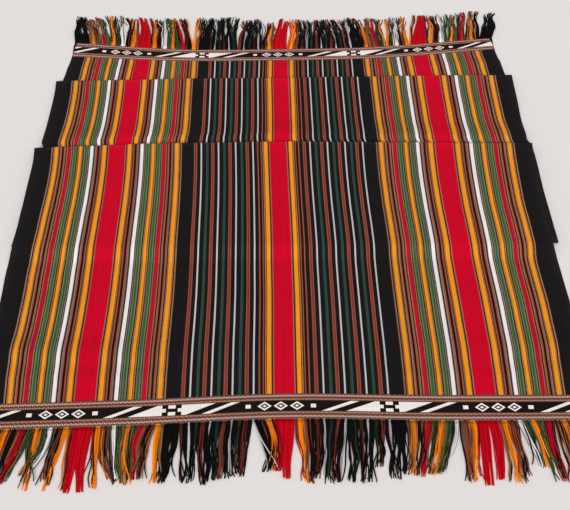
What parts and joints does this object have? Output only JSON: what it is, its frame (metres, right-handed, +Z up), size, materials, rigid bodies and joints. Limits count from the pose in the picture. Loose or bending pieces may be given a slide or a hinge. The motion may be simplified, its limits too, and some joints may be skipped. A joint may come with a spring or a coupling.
{
  "type": "folded striped wrapper cloth",
  "caption": "Wide striped wrapper cloth lying folded back and forth in layers, with a patterned band across each end and a loose warp fringe.",
  "frame": {"origin": "on the floor, under the middle of the part's box", "axes": "+X to the right across the cloth, +Y along the stripes from the near fringe to the far fringe, +Z up"},
  "size_m": [1.003, 1.2126, 0.0128],
  "materials": {
    "striped_cloth": "warp-faced striped cotton weave in black, red, orange, green, white and rust",
    "patterned_band": "weft-faced black and white band with rust and pink twined edges",
    "warp_fringe": "loose cotton warp yarn in the colours of the stripes"
  },
  "bodies": {
    "root": {"cloth": "striped_cloth", "far_band": "patterned_band", "near_band": "patterned_band", "far_fringe": "warp_fringe", "near_fringe": "warp_fringe"}
  },
  "joints": []
}
